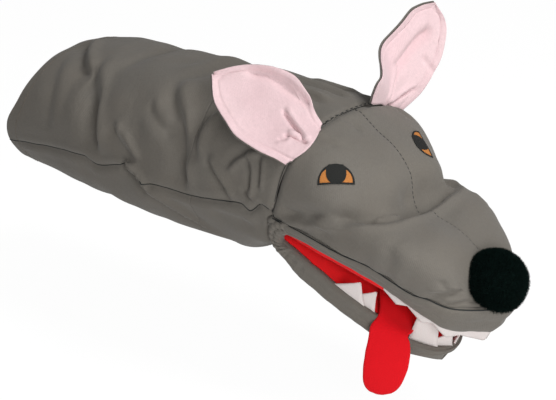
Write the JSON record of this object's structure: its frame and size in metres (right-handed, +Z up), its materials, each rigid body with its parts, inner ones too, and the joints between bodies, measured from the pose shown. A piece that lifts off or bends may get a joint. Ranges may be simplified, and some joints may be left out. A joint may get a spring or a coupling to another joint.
{
  "type": "sock puppet",
  "caption": "Long-sleeved glove puppet of a grey animal head with a ball nose, leaf ears, felt teeth, hanging tongue and a mouth that opens by hand.",
  "frame": {"origin": "centre of the cuff opening, where the hand goes in", "axes": "+X along the sleeve to the nose, +Y to the puppet's left, +Z up over the head"},
  "size_m": [0.5081, 0.2174, 0.2727],
  "materials": {
    "grey_twill": "matt woven twill",
    "seam_tape": "matt cotton tape",
    "black_pompom": "dense clipped pile",
    "orange_cloth": "matt printed cotton",
    "black_cloth": "matt close stitching",
    "white_felt": "matt felt",
    "red_felt": "matt felt",
    "tongue_felt": "matt felt",
    "stiff_board": "stiff bonded fibre sheet",
    "pocket_cloth": "matt lining cotton",
    "wadding": "soft polyester wadding",
    "pink_cotton": "matt cotton"
  },
  "bodies": {
    "sleeve": {"sleeve_back_panel": "grey_twill", "sleeve_belly_panel": "grey_twill", "cuff_hem": "grey_twill"},
    "neck": {"neck_gather": "grey_twill"},
    "head": {"head_right_panel": "grey_twill", "head_left_panel": "grey_twill", "upper_lip_band": "grey_twill", "palate_lining": "red_felt", "upper_jaw_board": "stiff_board", "finger_pocket": "pocket_cloth", "head_padding": "wadding", "neck_seam_tape": "seam_tape", "nose_pompom": "black_pompom", "right_eye_patch": "orange_cloth", "right_eye_black": "black_cloth", "left_eye_patch": "orange_cloth", "left_eye_black": "black_cloth", "upper_teeth": "white_felt"},
    "jaw": {"lower_lip_band": "grey_twill", "chin_panel": "grey_twill", "jaw_lining": "red_felt", "lower_jaw_board": "stiff_board", "thumb_pocket": "pocket_cloth", "jaw_padding": "wadding", "lower_teeth": "white_felt", "tongue_root": "tongue_felt"},
    "tongue": {"tongue_tip": "tongue_felt"},
    "right_ear": {"right_ear_lining": "pink_cotton", "right_ear_back": "grey_twill"},
    "left_ear": {"left_ear_lining": "pink_cotton", "left_ear_back": "grey_twill"}
  },
  "joints": [
    {"name": "neck_turn", "type": "hinge", "parent": "sleeve", "child": "neck", "pos_m": [0.228, 0, 0], "axis": [0, 0, 1], "range_deg": [-15, 15], "deforming": ["neck_gather"]},
    {"name": "neck_nod", "type": "hinge", "parent": "neck", "child": "head", "pos_m": [0.228, 0, 0], "axis": [0, 1, 0], "range_deg": [-20, 25], "deforming": ["neck_gather"]},
    {"name": "jaw_open", "type": "hinge", "parent": "head", "child": "jaw", "pos_m": [0.294, 0, -0.039], "axis": [0, 1, 0], "range_deg": [-9.5, 30], "deforming": ["lower_teeth", "upper_teeth"]},
    {"name": "tongue_swing", "type": "hinge", "parent": "jaw", "child": "tongue", "pos_m": [0.39642, -0.04487, -0.10727], "axis": [-0.765, -0.4415, 0.4688], "range_deg": [0, 50]},
    {"name": "right_ear_flop", "type": "hinge", "parent": "head", "child": "right_ear", "pos_m": [0.32139, -0.05788, 0.0343], "axis": [0.2189, 0.7684, 0.6014], "range_deg": [-5, 45]},
    {"name": "left_ear_flop", "type": "hinge", "parent": "head", "child": "left_ear", "pos_m": [0.32136, 0.05837, 0.03493], "axis": [-0.2189, 0.7684, -0.6014], "range_deg": [-70, 8]}
  ]
}
